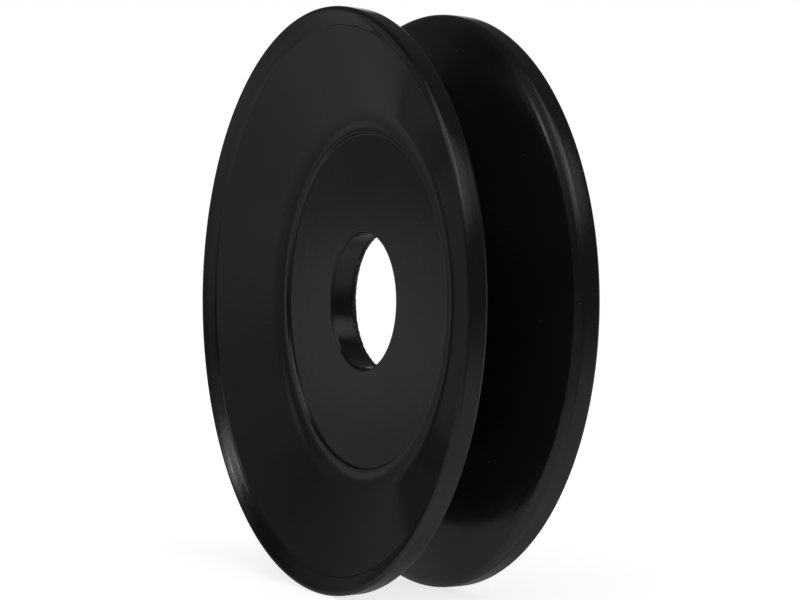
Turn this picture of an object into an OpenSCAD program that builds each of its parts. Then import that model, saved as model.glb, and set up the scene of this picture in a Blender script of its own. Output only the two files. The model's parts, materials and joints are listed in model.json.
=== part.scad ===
// Single-groove V-belt pulley, pressed from steel sheet.
// Two dished halves stand back to back and are welded together through their flat webs.
// The shaft runs along Y. The front dish, where the shaft nut goes, faces -Y. +Z is up.
// The origin is on the shaft axis, midway between the two rims.

/* [Pulley] */
// Diameter over the rims
outer_d = 72; // [68:0.5:78]
// Width over both rims
overall_w = 17.2; // [16.4:0.1:18.4]
// Diameter of the shaft bore
bore_d = 17; // [12:0.5:17.5]
// Distance from mid width to the plane where the halves meet, towards the front
joint_offset = 0.5; // [0:0.1:1]

/* [Pressed sheet] */
// Thickness of the sheet
sheet_t = 2.2; // [1.8:0.1:2.4]
// Angle of each groove wall from a plane square to the shaft
flank_angle = 22.9; // [20:0.1:25]
// Inside radius of the bend between web and groove wall
web_bend_r = 8; // [4:0.5:9]
// Depth of the step around the flat disc at the middle of each dish
disc_step = 0.35; // [0.1:0.05:0.5]
// Rounding at the front and rear ends of the bore
bore_edge_r = 0.3; // [0.1:0.05:0.4]

/* [Rim] */
// Angle of the flared lip from a plane square to the shaft
lip_angle = 36; // [30:1:42]
// Radial width of the flared lip
lip_w = 2.25; // [1.8:0.05:2.8]
// Inside radius of the bend between groove wall and lip
lip_bend_r = 1.2; // [0.6:0.1:2]
// Rounding of the outermost edge of the rim
rim_edge_r = 0.42; // [0.3:0.02:0.6]
// Rounding of the edge between the rim and the groove
groove_edge_r = 0.35; // [0.2:0.05:0.45]

/* [Welds] */
// Number of weld nuggets between the webs
weld_count = 6; // [3:1:8]
// Diameter of the circle that the nuggets sit on
weld_circle_d = 27; // [25:0.5:29]
// Diameter of one nugget
weld_d = 5; // [4:0.5:6]
// Thickness of one nugget, half of it in each web
weld_t = 1.2; // [0.6:0.1:1.6]

/* [Hidden] */
$fn = 240;

enamel_black = [0.05, 0.05, 0.052];
weld_steel = [0.55, 0.54, 0.52];

rim_r = outer_d / 2;
bore_r = bore_d / 2;
lip_root_r = rim_r - lip_w;
// Fall of the lip from its outermost edge to its root, where the round edge is tangent to the lip
lip_drop = lip_w * tan(lip_angle) - rim_edge_r * (tan(lip_angle) + 1 / cos(lip_angle) - 1);
// Width of the sloping wall of the step around the disc
step_w = 0.2;
// Flat left between the step and the start of the bend
step_margin = 0.1;
// Roundings at the foot and at the top of the step
step_foot_r = 0.08;
step_top_r = 0.12;
arc_steps = 8;

// Points of the arc that rounds corner p between its neighbours a and b with radius r
function corner_arc(a, p, b, r) =
    let (u = (a - p) / norm(a - p))
    let (v = (b - p) / norm(b - p))
    let (half = acos(u * v) / 2)
    let (centre = p + (u + v) / norm(u + v) * r / sin(half))
    let (from = p + u * r / tan(half) - centre)
    let (to = p + v * r / tan(half) - centre)
    let (start = atan2(from[1], from[0]))
    let (turn = atan2(from[0] * to[1] - from[1] * to[0], from * to))
    [for (i = [0:arc_steps]) centre + r * [cos(start + turn * i / arc_steps), sin(start + turn * i / arc_steps)]];

// Outline made from corners [radius, height, rounding]; a rounding of 0 keeps the corner sharp
function rounded_outline(corners) =
    let (n = len(corners))
    [for (i = [0:n - 1])
        let (a = corners[(i + n - 1) % n])
        let (p = corners[i])
        let (b = corners[(i + 1) % n])
        each p[2] == 0
            ? [[p[0], p[1]]]
            : corner_arc([a[0], a[1]], [p[0], p[1]], [b[0], b[1]], p[2])];

// Section of one pressed half. The joint plane is at height 0 and the rim stands at rim_h.
function half_section(rim_h) =
    let (lip_root_h = rim_h - lip_drop)
    let (web_corner_r = lip_root_r - (lip_root_h - sheet_t) / tan(flank_angle))
    let (disc_r = web_corner_r - web_bend_r * tan(flank_angle / 2) - step_margin - step_w)
    let (mean_angle = (flank_angle + lip_angle) / 2)
    let (lip_back = sheet_t / cos((lip_angle - flank_angle) / 2))
    let (back_bend_r = lip_root_r + lip_back * sin(mean_angle))
    let (back_bend_h = lip_root_h - lip_back * cos(mean_angle))
    [
        [bore_r, sheet_t - disc_step, bore_edge_r],
        [disc_r, sheet_t - disc_step, step_foot_r],
        [disc_r + step_w, sheet_t, step_top_r],
        [web_corner_r, sheet_t, web_bend_r],
        [lip_root_r, lip_root_h, lip_bend_r],
        [rim_r, lip_root_h + lip_w * tan(lip_angle), rim_edge_r],
        [rim_r, back_bend_h + (rim_r - back_bend_r) * tan(lip_angle), groove_edge_r],
        [back_bend_r, back_bend_h, lip_bend_r + sheet_t],
        [web_corner_r + sheet_t * tan(flank_angle / 2), 0, web_bend_r + sheet_t],
        [bore_r, 0, 0]
    ];

// One nugget: a flat lens on the joint plane
module weld_nugget() {
    rim = 0.3 * weld_t;
    rotate_extrude()
        polygon([
            [0, -weld_t / 2],
            [weld_d / 2 - rim, -weld_t / 2],
            [weld_d / 2, 0],
            [weld_d / 2 - rim, weld_t / 2],
            [0, weld_t / 2]
        ]);
}

// All the nuggets, on their circle around the shaft
module weld_ring() {
    for (i = [0:weld_count - 1])
        rotate([0, 0, (i + 0.5) * 360 / weld_count])
            translate([weld_circle_d / 2, 0, 0])
                weld_nugget();
}

// One pressed half with its hollows for the nuggets
module pressed_half(rim_h) {
    difference() {
        rotate_extrude()
            polygon(rounded_outline(half_section(rim_h)));
        weld_ring();
    }
}

// Moves a shape from the joint plane to its place: its own +Z becomes the pulley's front, -Y
module on_joint_plane() {
    translate([0, -joint_offset, 0])
        rotate([90, 0, 0])
            children();
}

// Front dish, with the nut seat
module front_half() {
    color(enamel_black)
        on_joint_plane()
            pressed_half(overall_w / 2 - joint_offset);
}

// Rear dish, which faces the machine
module rear_half() {
    color(enamel_black)
        on_joint_plane()
            mirror([0, 0, 1])
                pressed_half(overall_w / 2 + joint_offset);
}

// Resistance welds between the two webs
module weld_nuggets() {
    color(weld_steel)
        on_joint_plane()
            weld_ring();
}

front_half();
rear_half();
weld_nuggets();
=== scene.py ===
"""Looks of a single-groove V-belt pulley pressed from steel sheet.

Two dished halves stand back to back on the shaft axis, which is Y, and are welded through their flat webs.
Each half is drawn as one closed section, spun round the shaft and dressed in black enamel.
All sizes are in metres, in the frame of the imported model.
"""

import json
import logging
import math
from dataclasses import dataclass, field, replace
from enum import Enum
from typing import Iterable, Optional, Sequence

import bpy
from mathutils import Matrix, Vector


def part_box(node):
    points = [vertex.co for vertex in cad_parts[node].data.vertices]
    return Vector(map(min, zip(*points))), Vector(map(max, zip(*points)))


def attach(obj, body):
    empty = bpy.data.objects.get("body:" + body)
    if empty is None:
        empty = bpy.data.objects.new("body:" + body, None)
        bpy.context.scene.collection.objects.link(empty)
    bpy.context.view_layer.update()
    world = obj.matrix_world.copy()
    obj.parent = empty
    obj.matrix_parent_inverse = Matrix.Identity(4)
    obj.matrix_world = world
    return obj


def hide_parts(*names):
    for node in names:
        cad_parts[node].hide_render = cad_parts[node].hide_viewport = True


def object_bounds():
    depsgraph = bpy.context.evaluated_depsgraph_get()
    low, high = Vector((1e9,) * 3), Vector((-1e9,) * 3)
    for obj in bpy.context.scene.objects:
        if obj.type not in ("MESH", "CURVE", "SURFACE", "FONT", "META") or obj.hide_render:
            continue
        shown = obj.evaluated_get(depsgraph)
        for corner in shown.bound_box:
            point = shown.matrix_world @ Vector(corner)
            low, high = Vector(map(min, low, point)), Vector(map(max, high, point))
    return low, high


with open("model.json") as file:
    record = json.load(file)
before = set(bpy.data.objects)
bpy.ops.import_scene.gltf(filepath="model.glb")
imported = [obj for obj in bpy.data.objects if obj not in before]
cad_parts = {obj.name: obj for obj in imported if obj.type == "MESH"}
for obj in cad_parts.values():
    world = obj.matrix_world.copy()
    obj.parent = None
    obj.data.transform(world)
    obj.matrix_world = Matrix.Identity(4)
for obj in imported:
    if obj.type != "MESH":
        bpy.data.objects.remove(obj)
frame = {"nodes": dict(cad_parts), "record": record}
CAD_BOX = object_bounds()

LOG = logging.getLogger("belt_pulley")
MM = 0.001
HOLD = 0.04 * MM      # distance from a bend of the points that keep a straight stretch flat
MERGE = 1e-7          # distance within which two vertices are one


class Facing(Enum):
    """Side of the joint plane that a half stands on, as the sign of its direction along Y."""

    FRONT = -1
    REAR = 1


# ---------------------------------------------------------------------------------------------------------
# Small helpers
# ---------------------------------------------------------------------------------------------------------


def deselect_all() -> None:
    """Leave edit mode and clear the selection."""
    if bpy.context.object and bpy.context.object.mode != "OBJECT":
        bpy.ops.object.mode_set(mode="OBJECT")
    bpy.ops.object.select_all(action="DESELECT")


def make_active(piece: bpy.types.Object) -> None:
    """Select one object alone and make it the active one.

    Args:
        piece: The object that the next operators work on.
    """
    deselect_all()
    piece.select_set(True)
    bpy.context.view_layer.objects.active = piece


def apply_modifier(piece: bpy.types.Object, kind: str, **settings: object) -> None:
    """Add a modifier, set it up and apply it.

    Args:
        piece: The object that gets the modifier.
        kind: Blender's type name of the modifier.
        **settings: Properties of the modifier.
    """
    make_active(piece)
    modifier = piece.modifiers.new(kind.lower(), kind)
    for name, value in settings.items():
        setattr(modifier, name, value)
    bpy.ops.object.modifier_apply(modifier=modifier.name)


def mount(name: str) -> dict:
    """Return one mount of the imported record.

    Args:
        name: The mount's name.

    Returns:
        The mount's entry, with its position, axis and dimensions.
    """
    return next(entry for entry in frame["record"]["mounts"] if entry["name"] == name)


# ---------------------------------------------------------------------------------------------------------
# Section of a pressed half
# ---------------------------------------------------------------------------------------------------------


@dataclass(frozen=True)
class Corner:
    """A corner of a section: distance from the shaft, height over the joint plane and rounding."""

    radius: float
    height: float
    rounding: float = 0.0
    steps: int = 10

    @property
    def place(self) -> Vector:
        """The corner as a point of the section plane."""
        return Vector((self.radius, self.height))


def corner_points(before: Corner, corner: Corner, after: Corner) -> list[Vector]:
    """Round one corner of a section with an arc tangent to both its sides.

    Args:
        before: The corner before it.
        corner: The corner to round.
        after: The corner after it.

    Returns:
        The points of the arc, or the corner itself where it has no rounding.
    """
    if corner.rounding == 0:
        return [corner.place]
    back = (before.place - corner.place).normalized()
    ahead = (after.place - corner.place).normalized()
    half = back.angle(ahead) / 2
    centre = corner.place + (back + ahead).normalized() * corner.rounding / math.sin(half)
    reach = corner.rounding / math.tan(half)
    start = corner.place + back * reach - centre
    end = corner.place + ahead * reach - centre
    turn = math.atan2(start.x * end.y - start.y * end.x, start.dot(end))
    first = math.atan2(start.y, start.x)
    angles = (first + turn * step / corner.steps for step in range(corner.steps + 1))
    return [centre + corner.rounding * Vector((math.cos(a), math.sin(a))) for a in angles]


def rounded_outline(corners: Sequence[Corner], longest: float) -> list[Vector]:
    """Turn a closed run of corners into the points of a smooth outline.

    Args:
        corners: The corners in order round the section.
        longest: The longest straight stretch allowed between two points.

    Returns:
        The outline's points, without a repeat of the first one. A straight stretch has points close to both
        ends, which keep its shading flat.
    """
    count = len(corners)
    bends = [corner_points(corners[i - 1], corners[i], corners[(i + 1) % count]) for i in range(count)]
    points: list[Vector] = []
    for i, bend in enumerate(bends):
        points += bend
        gap = bends[(i + 1) % count][0] - bend[-1]
        parts = max(1, math.ceil(gap.length / longest))
        shares = [part / parts for part in range(1, parts)]
        if gap.length > 4 * HOLD:
            hold = HOLD / gap.length
            shares = [hold, *shares, 1 - hold]
        points += [bend[-1] + gap * share for share in shares]
    return points


# ---------------------------------------------------------------------------------------------------------
# Finishes
# ---------------------------------------------------------------------------------------------------------


class Nodes:
    """The node tree of one material, with short calls to add and link its nodes."""

    def __init__(self, tree: bpy.types.NodeTree) -> None:
        """Start from an empty tree.

        Args:
            tree: The node tree to fill.
        """
        self.tree = tree
        self.tree.nodes.clear()

    def add(self, kind: str, inputs: Optional[dict] = None, **settings: object) -> bpy.types.Node:
        """Add a node, set its properties and fill or link its inputs.

        Args:
            kind: Blender's type name of the node.
            inputs: Input name or number to a value, or to the output socket that feeds it.
            **settings: Properties of the node.

        Returns:
            The new node.
        """
        node = self.tree.nodes.new(kind)
        for name, value in settings.items():
            setattr(node, name, value)
        for key, value in (inputs or {}).items():
            if isinstance(value, bpy.types.NodeSocket):
                self.tree.links.new(value, node.inputs[key])
            else:
                node.inputs[key].default_value = value
        return node

    def math(self, operation: str, *values: object) -> bpy.types.NodeSocket:
        """Add a Math node.

        Args:
            operation: The operation's name.
            *values: Its operands, each a number or a socket.

        Returns:
            The result.
        """
        return self.add("ShaderNodeMath", dict(enumerate(values)), operation=operation).outputs[0]

    def vector(self, operation: str, inputs: dict, output: int = 0) -> bpy.types.NodeSocket:
        """Add a Vector Math node.

        Args:
            operation: The operation's name.
            inputs: Input name or number to a value or a socket.
            output: Number of the output wanted.

        Returns:
            The result.
        """
        return self.add("ShaderNodeVectorMath", inputs, operation=operation).outputs[output]

    def ramp(self, value: bpy.types.NodeSocket, low: float, high: float,
             out_low: float = 0.0, out_high: float = 1.0) -> bpy.types.NodeSocket:
        """Map a value smoothly from one range to another.

        Args:
            value: The value to map.
            low: Where the rise starts.
            high: Where the rise ends.
            out_low: Result below the rise.
            out_high: Result above the rise.

        Returns:
            The mapped value.
        """
        inputs = {"Value": value, "From Min": low, "From Max": high, "To Min": out_low, "To Max": out_high}
        return self.add("ShaderNodeMapRange", inputs, interpolation_type="SMOOTHSTEP").outputs[0]

    def noise(self, place: bpy.types.NodeSocket, scale: float, detail: float = 2.0) -> bpy.types.NodeSocket:
        """Add a Noise Texture and return its value.

        Args:
            place: The coordinates.
            scale: Cells per unit of the coordinates.
            detail: Octaves added to the first one.

        Returns:
            The noise, between 0 and 1.
        """
        inputs = {"Vector": place, "Scale": scale, "Detail": detail}
        return self.add("ShaderNodeTexNoise", inputs).outputs["Fac"]

    def mix(self, share: bpy.types.NodeSocket, first: object, second: object) -> bpy.types.NodeSocket:
        """Mix two colours.

        Args:
            share: Share of the second colour.
            first: The first colour, or its socket.
            second: The second colour, or its socket.

        Returns:
            The mixed colour.
        """
        node = self.add("ShaderNodeMix", {0: share, 6: first, 7: second}, data_type="RGBA")
        return node.outputs[2]

    def bump(self, height: bpy.types.NodeSocket, depth: float,
             normal: Optional[bpy.types.NodeSocket] = None) -> bpy.types.NodeSocket:
        """Add a Bump node.

        Args:
            height: The height, between 0 and 1.
            depth: What a height of 1 measures, in metres.
            normal: The normal that it starts from.

        Returns:
            The bumped normal.
        """
        inputs = {"Height": height, "Distance": depth, "Strength": 1.0}
        if normal is not None:
            inputs["Normal"] = normal
        return self.add("ShaderNodeBump", inputs).outputs["Normal"]


@dataclass(frozen=True)
class BlackEnamel:
    """Black stoving enamel over pressed steel.

    The film has a soft orange peel and shows the sheet's radial draw lines and the fine rings that the
    press die leaves on the flat disc. It is thinner on the rim's edges and in the punched bore, and holds a
    little dust. A zone is given by where it fades in or out, measured outwards from the radius it belongs to.
    """

    name: str
    rim_radius: float
    bore_radius: float
    disc_radius: float
    deep: tuple = (0.0096, 0.0110, 0.0105, 1.0)
    faded: tuple = (0.0125, 0.0135, 0.0135, 1.0)
    thin: tuple = (0.0125, 0.0125, 0.0125, 1.0)
    bare: tuple = (0.17, 0.175, 0.18, 1.0)
    dust: tuple = (0.16, 0.17, 0.175, 1.0)
    gloss: float = 0.09
    rim_zone: tuple = (-0.9 * MM, -0.1 * MM)
    lip_zone: tuple = (-2.2 * MM, -1.8 * MM)
    bore_zone: tuple = (0.15 * MM, 0.45 * MM)
    disc_zone: tuple = (0.0, 0.2 * MM)
    peel_depth: float = 0.0045 * MM
    lip_peel_depth: float = 0.012 * MM
    draw_depth: float = 0.009 * MM
    ring_depth: float = 0.0008 * MM
    grain_depth: float = 0.0005 * MM
    punch_depth: float = 0.012 * MM
    torn_depth: float = 0.22 * MM
    torn_drift: float = 0.8 * MM
    torn_start: float = 1.0
    torn_end: float = 2.0
    speck_depth: float = 0.03 * MM
    speck_cells: float = 0.5
    seed: float = 0.0

    def make(self) -> bpy.types.Material:
        """Build the material.

        Returns:
            The enamel.
        """
        material = bpy.data.materials.new(self.name)
        material.use_nodes = True
        nodes = Nodes(material.node_tree)
        place = nodes.add("ShaderNodeTexCoord").outputs["Object"]
        in_mm = nodes.vector("SCALE", {0: place, "Scale": 1 / MM})
        in_mm = nodes.vector("ADD", {0: in_mm, 1: (0.0, self.seed, 0.0)})
        flat = nodes.vector("MULTIPLY", {0: place, 1: (1.0, 0.0, 1.0)})
        radius = nodes.vector("LENGTH", {0: flat}, output=1)
        outward = nodes.vector("NORMALIZE", {0: flat})

        rim = nodes.ramp(radius, *(self.rim_radius + edge for edge in self.rim_zone))
        lip = nodes.ramp(radius, *(self.rim_radius + edge for edge in self.lip_zone))
        bore = nodes.ramp(radius, *(self.bore_radius + edge for edge in self.bore_zone), 1.0, 0.0)
        off_disc = nodes.ramp(radius, *(self.disc_radius + edge for edge in self.disc_zone))
        clouds = nodes.noise(in_mm, 0.09, 3.0)
        streaks = self.draw_lines(nodes, outward, radius)
        specks = self.dust_specks(nodes, in_mm)

        colour = nodes.mix(nodes.ramp(clouds, 0.35, 0.7), self.deep, self.faded)
        patchy = nodes.ramp(clouds, 0.3, 0.75, 0.25, 1.0)
        worn = nodes.math("MULTIPLY", nodes.math("MAXIMUM", rim, bore), patchy)
        colour = nodes.mix(worn, colour, self.thin)
        colour = nodes.mix(specks, colour, self.dust)
        torn, chips = self.torn_zone(nodes, place, in_mm, bore)
        colour = nodes.mix(chips, colour, self.bare)

        roughness = nodes.ramp(clouds, 0.3, 0.7, self.gloss - 0.02, self.gloss + 0.03)
        roughness = nodes.math("ADD", roughness, nodes.math("MULTIPLY", streaks, 0.03))
        roughness = nodes.math("ADD", roughness, nodes.math("MULTIPLY", torn, 0.2))
        roughness = nodes.math("ADD", roughness, nodes.math("MULTIPLY", specks, 0.4))

        normal = nodes.bump(nodes.noise(in_mm, 0.9, 1.0), self.peel_depth)
        lip_peel = nodes.math("MULTIPLY", lip, nodes.noise(in_mm, 1.3, 2.0))
        normal = nodes.bump(lip_peel, self.lip_peel_depth, normal)
        normal = nodes.bump(nodes.math("MULTIPLY", streaks, off_disc), self.draw_depth, normal)
        normal = nodes.bump(self.die_rings(nodes, radius, in_mm), self.ring_depth, normal)
        normal = nodes.bump(nodes.noise(in_mm, 6.0, 1.0), self.grain_depth, normal)
        normal = nodes.bump(self.punch_lines(nodes, in_mm, bore), self.punch_depth, normal)
        tears = nodes.math("MULTIPLY", torn, nodes.noise(in_mm, 2.6, 3.0))
        normal = nodes.bump(tears, self.torn_depth, normal)
        normal = nodes.bump(specks, self.speck_depth, normal)

        shader = nodes.add("ShaderNodeBsdfPrincipled", {
            "Base Color": colour, "Roughness": roughness, "Normal": normal, "IOR": 1.5})
        nodes.add("ShaderNodeOutputMaterial", {"Surface": shader.outputs[0]})
        return material

    def torn_zone(self, nodes: Nodes, place: bpy.types.NodeSocket, in_mm: bpy.types.NodeSocket,
                  bore: bpy.types.NodeSocket) -> tuple[bpy.types.NodeSocket, bpy.types.NodeSocket]:
        """End of the bore wall that the punch tore, with chips that the enamel didn't cover.

        Args:
            nodes: The tree to add to.
            place: Place in metres.
            in_mm: Place in millimetres.
            bore: 1 on the bore wall.

        Returns:
            The torn zone and the chips, each between 0 and 1.
        """
        along = nodes.add("ShaderNodeSeparateXYZ", {0: place}).outputs["Y"]
        uneven = nodes.math("SUBTRACT", nodes.noise(in_mm, 0.7, 2.0), 0.5)
        ragged = nodes.math("MULTIPLY", uneven, self.torn_drift)
        depth = nodes.ramp(nodes.math("ADD", along, ragged), self.torn_start, self.torn_end)
        torn = nodes.math("MULTIPLY", depth, bore)
        chips = nodes.math("MULTIPLY", torn, nodes.ramp(nodes.noise(in_mm, 3.4, 2.0), 0.56, 0.66))
        return torn, chips

    def punch_lines(self, nodes: Nodes, in_mm: bpy.types.NodeSocket,
                    bore: bpy.types.NodeSocket) -> bpy.types.NodeSocket:
        """Lines along the bore wall, drawn by the punch.

        Args:
            nodes: The tree to add to.
            in_mm: Place in millimetres.
            bore: 1 on the bore wall.

        Returns:
            The lines' height, between 0 and 1.
        """
        stretched = nodes.vector("MULTIPLY", {0: in_mm, 1: (1.0, 0.06, 1.0)})
        return nodes.math("MULTIPLY", nodes.noise(stretched, 1.6, 3.0), bore)

    def draw_lines(self, nodes: Nodes, outward: bpy.types.NodeSocket,
                   radius: bpy.types.NodeSocket) -> bpy.types.NodeSocket:
        """Fine lines that run straight out from the shaft, where the sheet was drawn over the die.

        Args:
            nodes: The tree to add to.
            outward: Unit direction away from the shaft.
            radius: Distance from the shaft.

        Returns:
            The lines' height, between 0 and 1.
        """
        along = nodes.add("ShaderNodeCombineXYZ", {"Y": nodes.math("MULTIPLY", radius, 30.0)}).outputs[0]
        place = nodes.vector("ADD", {0: outward, 1: along})
        wide = nodes.noise(place, 14.0, 3.0)
        fine = nodes.noise(place, 55.0, 1.0)
        return nodes.math("ADD", nodes.math("MULTIPLY", wide, 0.7), nodes.math("MULTIPLY", fine, 0.3))

    def die_rings(self, nodes: Nodes, radius: bpy.types.NodeSocket,
                  in_mm: bpy.types.NodeSocket) -> bpy.types.NodeSocket:
        """Faint rings round the shaft, printed by the turned face of the die.

        Args:
            nodes: The tree to add to.
            radius: Distance from the shaft.
            in_mm: Place in millimetres.

        Returns:
            The rings' height, between 0 and 1.
        """
        drift = nodes.math("MULTIPLY", nodes.noise(in_mm, 0.05, 1.0), 0.004)
        across = nodes.add("ShaderNodeCombineXYZ", {"X": nodes.math("ADD", radius, drift)}).outputs[0]
        return nodes.noise(across, 2600.0, 1.0)

    def dust_specks(self, nodes: Nodes, in_mm: bpy.types.NodeSocket) -> bpy.types.NodeSocket:
        """Sparse tiny grains of dust.

        Args:
            nodes: The tree to add to.
            in_mm: Place in millimetres.

        Returns:
            Up to 1 on a grain and 0 elsewhere.
        """
        settings = {"Vector": in_mm, "Scale": self.speck_cells, "Randomness": 1.0}
        cells = nodes.add("ShaderNodeTexVoronoi", settings)
        near = nodes.ramp(cells.outputs["Distance"], 0.020, 0.034, 1.0, 0.0)
        chosen = nodes.add("ShaderNodeSeparateColor", {0: cells.outputs["Color"]}).outputs[0]
        return nodes.math("MULTIPLY", near, nodes.ramp(chosen, 0.15, 0.85))


@dataclass(frozen=True)
class WeldSteel:
    """Bare steel that has melted and set between the webs, with heat colours."""

    name: str
    bright: tuple = (0.52, 0.51, 0.49, 1.0)
    heated: tuple = (0.30, 0.27, 0.33, 1.0)

    def make(self) -> bpy.types.Material:
        """Build the material.

        Returns:
            The weld steel.
        """
        material = bpy.data.materials.new(self.name)
        material.use_nodes = True
        nodes = Nodes(material.node_tree)
        place = nodes.add("ShaderNodeTexCoord").outputs["Object"]
        in_mm = nodes.vector("SCALE", {0: place, "Scale": 1 / MM})
        clouds = nodes.noise(in_mm, 0.9, 3.0)
        grain = nodes.noise(in_mm, 9.0, 2.0)
        colour = nodes.mix(nodes.ramp(clouds, 0.4, 0.65), self.bright, self.heated)
        shader = nodes.add("ShaderNodeBsdfPrincipled", {
            "Base Color": colour, "Roughness": nodes.ramp(grain, 0.3, 0.7, 0.35, 0.55),
            "Normal": nodes.bump(grain, 0.02 * MM), "Metallic": 1.0})
        nodes.add("ShaderNodeOutputMaterial", {"Surface": shader.outputs[0]})
        return material


# ---------------------------------------------------------------------------------------------------------
# The pulley
# ---------------------------------------------------------------------------------------------------------


@dataclass
class PressedHalf:
    """One dished half: flat disc, step, bend, groove wall, crease, flared lip and sheared rim.

    The lip is a little hollow, by lip_sag, and the rim's land is a little crowned, by crown.
    """

    node: str
    facing: Facing
    seat: str
    sheet: float = 2.2 * MM
    flank_angle: float = math.radians(22.9)
    web_bend: float = 8.0 * MM
    step_width: float = 0.2 * MM
    step_margin: float = 0.1 * MM
    step_foot: float = 0.22 * MM
    step_top: float = 0.15 * MM
    lip_angle: float = math.radians(36.0)
    lip_width: float = 2.25 * MM
    crease_width: float = 0.16 * MM
    crease_lift: float = 0.11 * MM
    crease_rounding: float = 0.30 * MM
    lip_sag: float = 0.08 * MM
    lip_hollow: float = 6.0 * MM
    groove_bend: float = 3.0 * MM
    groove_shift: float = 0.30 * MM
    crown: float = 0.04 * MM
    crown_share: float = 0.8
    rim_edge: float = 0.42 * MM
    groove_edge: float = 0.45 * MM
    bore_edge: float = 0.3 * MM
    bore_rings: int = 12
    torn_length: float = 0.9 * MM
    torn_depth: float = 0.16 * MM
    torn_grain: float = 0.4 * MM
    torn_margin: float = 0.3 * MM
    rear_gloss: float = 0.15
    segments: int = 360
    longest: float = 1.6 * MM
    sharp_angle: float = math.radians(40.0)
    piece: Optional[bpy.types.Object] = field(default=None, init=False)

    def __post_init__(self) -> None:
        """Read the half's main sizes from the frame."""
        low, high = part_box(self.node)
        sign = self.facing.value
        self.rim_radius = high.x
        self.joint_y = high.y if sign < 0 else low.y
        self.rim_height = high.y - low.y
        self.bore_radius = mount("bore")["dims"]["r_mm"] * MM
        self.disc_height = abs(mount(self.seat)["pos_m"][1] - self.joint_y)

    @property
    def lip_root_radius(self) -> float:
        """Distance of the bend between groove wall and lip from the shaft."""
        return self.rim_radius - self.lip_width

    @property
    def lip_root_height(self) -> float:
        """Height of that bend over the joint plane."""
        tangent = math.tan(self.lip_angle)
        over_edge = self.rim_edge * (tangent + 1 / math.cos(self.lip_angle) - 1)
        return self.rim_height - self.lip_width * tangent + over_edge

    @property
    def web_corner_radius(self) -> float:
        """Distance from the shaft at which the web's plane meets the groove wall's."""
        return self.lip_root_radius - (self.lip_root_height - self.sheet) / math.tan(self.flank_angle)

    @property
    def disc_radius(self) -> float:
        """Radius of the flat disc at the middle of the dish."""
        bend_start = self.web_corner_radius - self.web_bend * math.tan(self.flank_angle / 2)
        return bend_start - self.step_margin - self.step_width

    def corners(self) -> list[Corner]:
        """List the corners of the half's section.

        Returns:
            The corners, from the bore's open edge out over the dish to the rim and back along the groove.
        """
        mean_angle = (self.flank_angle + self.lip_angle) / 2
        lip_back = self.sheet / math.cos((self.lip_angle - self.flank_angle) / 2)
        wall = math.tan(self.flank_angle)
        bend_radius = self.lip_root_radius + lip_back * math.sin(mean_angle) + self.groove_shift
        bend_height = self.lip_root_height - lip_back * math.cos(mean_angle) + self.groove_shift * wall
        slope = math.tan(self.lip_angle)
        rim_top = self.lip_root_height + self.lip_width * slope
        land_back = bend_height + (self.rim_radius - bend_radius) * slope
        crown_radius = ((rim_top - land_back) / 2) ** 2 / (2 * self.crown) * self.crown_share
        web_back_radius = self.web_corner_radius + self.sheet * math.tan(self.flank_angle / 2)
        crease_foot = self.lip_root_height - self.crease_width / 2 * wall
        crease_top = self.lip_root_height + self.crease_width / 2 * slope + self.crease_lift
        lip_middle = (crease_top + rim_top) / 2 - self.lip_sag
        return [
            Corner(self.bore_radius, self.disc_height, self.bore_edge, 8),
            Corner(self.disc_radius, self.disc_height, self.step_foot, 6),
            Corner(self.disc_radius + self.step_width, self.sheet, self.step_top, 6),
            Corner(self.web_corner_radius, self.sheet, self.web_bend, 20),
            Corner(self.lip_root_radius - self.crease_width / 2, crease_foot, self.crease_rounding, 8),
            Corner(self.lip_root_radius + self.crease_width / 2, crease_top, self.crease_rounding, 8),
            Corner(self.rim_radius - self.lip_width / 2, lip_middle, self.lip_hollow, 8),
            Corner(self.rim_radius - self.crown, rim_top, self.rim_edge, 14),
            Corner(self.rim_radius, (rim_top + land_back) / 2, crown_radius, 10),
            Corner(self.rim_radius - self.crown, land_back, self.groove_edge, 10),
            Corner(bend_radius, bend_height, self.groove_bend, 10),
            Corner(web_back_radius, 0.0, self.web_bend + self.sheet, 20),
            Corner(self.bore_radius, 0.0),
            *(Corner(self.bore_radius, self.disc_height * ring / self.bore_rings)
              for ring in range(1, self.bore_rings - 1)),
        ]

    def build(self) -> bpy.types.Object:
        """Draw the section point by point, spin it round the shaft and finish the mesh.

        Returns:
            The finished half.
        """
        outline = rounded_outline(self.corners(), self.longest)
        sign = self.facing.value
        places = [Vector((point.x, self.joint_y + sign * point.y, 0.0)) for point in outline]
        deselect_all()
        bpy.ops.mesh.primitive_plane_add(size=self.sheet, location=places[0])
        self.piece = bpy.context.object
        self.piece.name = self.piece.data.name = f"{self.node}_pressing"
        bpy.ops.object.transform_apply(location=True, rotation=False, scale=False)
        bpy.ops.object.mode_set(mode="EDIT")
        bpy.ops.mesh.select_all(action="SELECT")
        bpy.ops.mesh.merge(type="CENTER")
        for here, there in zip(places, places[1:] + places[:1]):
            bpy.ops.mesh.extrude_vertices_move(TRANSFORM_OT_translate={"value": there - here})
        bpy.ops.mesh.select_all(action="SELECT")
        bpy.ops.mesh.remove_doubles(threshold=MERGE)
        bpy.ops.mesh.spin(steps=self.segments, angle=math.tau, center=(0, 0, 0), axis=(0, 1, 0),
                          use_auto_merge=True)
        bpy.ops.mesh.select_all(action="SELECT")
        bpy.ops.mesh.remove_doubles(threshold=MERGE)
        bpy.ops.mesh.normals_make_consistent(inside=False)
        bpy.ops.object.mode_set(mode="OBJECT")
        if self.facing is Facing.REAR:
            self.tear_bore()
        make_active(self.piece)
        bpy.ops.object.shade_smooth_by_angle(angle=self.sharp_angle)
        apply_modifier(self.piece, "WEIGHTED_NORMAL", keep_sharp=True)
        return self.piece

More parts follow.
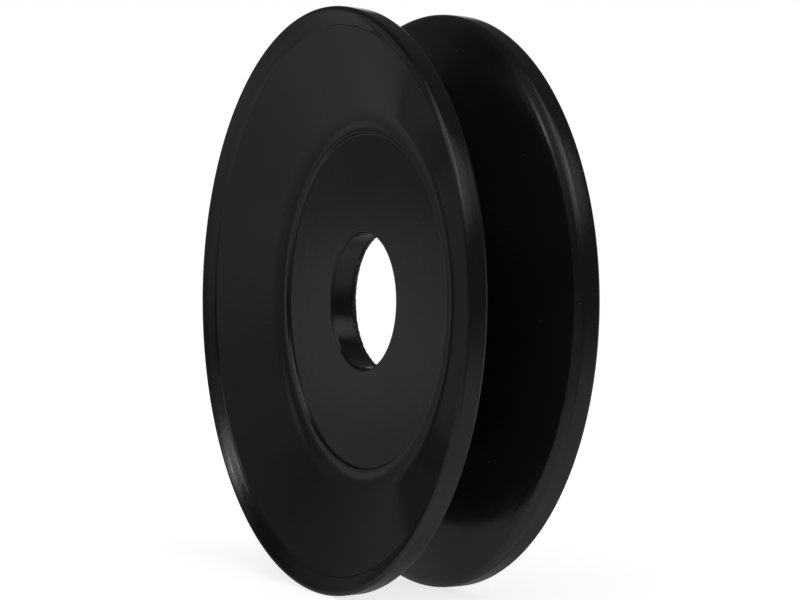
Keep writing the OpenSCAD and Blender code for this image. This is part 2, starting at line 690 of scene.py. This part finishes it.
    def tear_bore(self) -> None:
        """Roughen the end of the bore wall where the punch broke through the sheet."""
        group = self.piece.vertex_groups.new(name="torn")
        edge = self.joint_y + self.facing.value * self.disc_height
        for vertex in self.piece.data.vertices:
            radius = math.hypot(vertex.co.x, vertex.co.z)
            depth = abs(edge - vertex.co.y)
            if radius < self.bore_radius + self.bore_edge and depth < self.torn_length:
                group.add([vertex.index], 1.0 - depth / self.torn_length, "REPLACE")
        grain = bpy.data.textures.new("torn_grain", "CLOUDS")
        grain.noise_scale = self.torn_grain
        grain.noise_depth = 3
        apply_modifier(self.piece, "DISPLACE", texture=grain, texture_coords="LOCAL",
                       strength=self.torn_depth, mid_level=0.5, vertex_group=group.name)

    def dress(self, seed: float) -> None:
        """Enamel the half, hide its CAD node and hang the half on the root body.

        Args:
            seed: Shift of the enamel's patterns, so that the halves don't repeat each other.
        """
        enamel = BlackEnamel(f"{self.node}_enamel", self.rim_radius, self.bore_radius, self.disc_radius,
                             seed=seed)
        if self.facing is Facing.REAR:
            rear_face = self.joint_y + self.disc_height
            enamel = replace(enamel, gloss=self.rear_gloss, torn_start=rear_face - self.torn_length,
                             torn_end=rear_face - self.torn_margin)
        self.piece.data.materials.clear()
        self.piece.data.materials.append(enamel.make())
        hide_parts(self.node)
        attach(self.piece, "root")
        LOG.info("%s: %d faces, rim radius %.2f mm, disc radius %.2f mm", self.piece.name,
                 len(self.piece.data.polygons), self.rim_radius / MM, self.disc_radius / MM)


@dataclass
class WeldNuggets:
    """The nuggets sealed between the webs. Their CAD node has the right shape and keeps it."""

    node: str = "weld_nuggets"

    def dress(self) -> None:
        """Give the nuggets their steel."""
        piece = frame["nodes"][self.node]
        piece.data.materials.clear()
        piece.data.materials.append(WeldSteel("weld_steel").make())
        LOG.info("%s: CAD node kept, %d faces", self.node, len(piece.data.polygons))


@dataclass
class BeltPulley:
    """The whole pulley. The rear half's enamel patterns are shifted by pattern_shift, in millimetres."""

    front: PressedHalf = field(default_factory=lambda: PressedHalf("front_half", Facing.FRONT, "nut_seat"))
    rear: PressedHalf = field(
        default_factory=lambda: PressedHalf("rear_half", Facing.REAR, "rear_seat", groove_edge=0.8 * MM))
    welds: WeldNuggets = field(default_factory=WeldNuggets)
    pattern_shift: float = 37.0

    def build(self) -> None:
        """Build and dress every piece."""
        for number, half in enumerate((self.front, self.rear)):
            half.build()
            half.dress(self.pattern_shift * number)
        self.welds.dress()


# ---------------------------------------------------------------------------------------------------------
# Studio
# ---------------------------------------------------------------------------------------------------------


@dataclass(frozen=True)
class SoftLight:
    """A round patch of soft light, or of shade where its strength is negative, seen in one direction.

    Angles are in degrees. The patch has its full strength inside the inner angle and none outside the outer.
    """

    azimuth: float
    elevation: float
    inner: float
    outer: float
    strength: float

    @property
    def direction(self) -> Vector:
        """Unit vector towards the patch; azimuth 0 is the pulley's front and 90 its right."""
        a, e = math.radians(self.azimuth), math.radians(self.elevation)
        return Vector((math.sin(a) * math.cos(e), -math.cos(a) * math.cos(e), math.sin(e)))


# Eleven of these rows are the rounded output of a separate least-squares program, some with a value changed
# by hand. The other six were set one by one.
SOFT_LIGHTS = (
    SoftLight(-14, -78, 67, 88, 0.14),   # wide and faint, from below
    SoftLight(-56, 0, 18, 33, 0.03),     # faint, level, from the left
    SoftLight(15, -65, 18, 51, 0.28),    # from below, in front
    SoftLight(137, -46, 16, 48, 0.20),   # from below, behind on the right
    SoftLight(-61.5, -0.5, 0, 4, 0.15),  # small, level, from the left
    SoftLight(-25, -10, 9, 39, 0.13),    # level, in front
    SoftLight(-40, -3, 3, 20, -0.14),    # shade, level, front left
    SoftLight(-39, 9, 0, 6, 0.20),       # small, inside that shade
    SoftLight(-42, 32, 4, 18, -0.05),    # shade, above it
    SoftLight(-16, 27, 2, 10, 1.3),      # key light
    SoftLight(-7, 33, 5, 27, 0.22),      # its wide edge
    SoftLight(-16, 28, 0.5, 3, 4.5),     # its hot middle
    SoftLight(47, 50, 6, 35, 1.0),       # high, front right
    SoftLight(108, 45, 8, 28, 0.8),      # high, right
    SoftLight(92, 45, 2, 18, 1.0),       # its brighter part
    SoftLight(168, -8, 6, 30, 0.6),      # low, behind
    SoftLight(-113, 5, 7, 23, 1.0),      # level, rear left
)


@dataclass
class Studio:
    """Pale floor, white surround, soft light from all round and the camera."""

    floor_z: float
    floor_radius: float = 3.0
    floor_glow: float = 0.78
    floor_albedo: float = 0.8
    shell_radius: float = 3.6
    ambient: float = 0.075
    tint: tuple = (0.97, 1.0, 0.99, 1.0)
    lights: tuple[SoftLight, ...] = SOFT_LIGHTS
    view_azimuth: float = 61.0
    view_distance: float = 241.4 * MM
    aim_right: float = 2.65 * MM
    aim_up: float = 0.12 * MM
    lens: float = 86.9

    def build(self) -> None:
        """Set up everything around the pulley."""
        self.make_floor()
        self.make_surround()
        self.make_light()
        self.make_camera()
        bpy.context.scene.view_settings.view_transform = "Standard"

    def glowing(self, name: str, glow: float, albedo: float) -> bpy.types.Material:
        """Make a plain pale surface that is lit a little from within, like a light table.

        Args:
            name: The material's name.
            glow: Strength of its own light.
            albedo: Share of light that it gives back.

        Returns:
            The material.
        """
        material = bpy.data.materials.new(name)
        material.use_nodes = True
        nodes = Nodes(material.node_tree)
        shader = nodes.add("ShaderNodeBsdfPrincipled", {
            "Base Color": (albedo, albedo, albedo, 1.0), "Roughness": 1.0, "Specular IOR Level": 0.0,
            "Emission Color": (1.0, 1.0, 1.0, 1.0), "Emission Strength": glow})
        nodes.add("ShaderNodeOutputMaterial", {"Surface": shader.outputs[0]})
        return material

    def hide_from_gloss(self, piece: bpy.types.Object) -> None:
        """Keep a stage piece out of reflections, which show the soft light instead."""
        piece.visible_glossy = False

    def make_floor(self) -> None:
        """Lay a round pale floor that the rims stand on."""
        deselect_all()
        bpy.ops.mesh.primitive_circle_add(vertices=96, radius=self.floor_radius, fill_type="NGON",
                                          location=(0, 0, self.floor_z))
        floor = bpy.context.object
        floor.name = "studio_floor"
        floor.data.materials.append(self.glowing("pale_floor", self.floor_glow, self.floor_albedo))
        floor.visible_diffuse = False
        self.hide_from_gloss(floor)

    def make_surround(self) -> None:
        """Hang a white shell round the studio, which only the camera sees."""
        deselect_all()
        bpy.ops.mesh.primitive_uv_sphere_add(segments=48, ring_count=24, radius=self.shell_radius)
        shell = bpy.context.object
        shell.name = "studio_surround"
        shell.data.materials.append(self.glowing("white_surround", 1.0, 0.0))
        shell.visible_diffuse = False
        shell.visible_shadow = False
        shell.visible_transmission = False
        self.hide_from_gloss(shell)

    def make_light(self) -> None:
        """Light the pulley from a soft world with a few broad patches in it."""
        world = bpy.data.worlds.new("studio_world")
        bpy.context.scene.world = world
        world.use_nodes = True
        nodes = Nodes(world.node_tree)
        towards = nodes.add("ShaderNodeTexCoord").outputs["Generated"]
        total: object = self.ambient
        for light in self.lights:
            facing = nodes.vector("DOT_PRODUCT", {0: towards, 1: light.direction}, output=1)
            low, high = (math.cos(math.radians(angle)) for angle in (light.outer, light.inner))
            patch = nodes.ramp(facing, low, high, 0.0, light.strength)
            total = nodes.math("ADD", total, patch)
        total = nodes.math("MAXIMUM", total, 0.0)
        background = nodes.add("ShaderNodeBackground", {"Color": self.tint, "Strength": total})
        nodes.add("ShaderNodeOutputWorld", {"Surface": background.outputs[0]})

    def make_camera(self) -> None:
        """Place the camera level with the shaft, in front and to the right."""
        a = math.radians(self.view_azimuth)
        back = Vector((math.sin(a), -math.cos(a), 0.0))
        right = Vector((math.cos(a), math.sin(a), 0.0))
        data = bpy.data.cameras.new("view")
        data.lens = self.lens
        data.clip_start = 1 * MM
        camera = bpy.data.objects.new("view", data)
        bpy.context.collection.objects.link(camera)
        up = Vector((0.0, 0.0, 1.0))
        camera.location = right * self.aim_right + up * self.aim_up + back * self.view_distance
        camera.rotation_euler = (-back).to_track_quat("-Z", "Y").to_euler()
        bpy.context.scene.camera = camera


def main() -> None:
    """Build the pulley and its studio, and report each piece."""
    logging.basicConfig(level=logging.INFO, format="%(name)s: %(message)s")
    pulley = BeltPulley()
    studio = Studio(floor_z=CAD_BOX[0].z)
    studio.build()
    pulley.build()


if __name__ == "__main__":
    main()
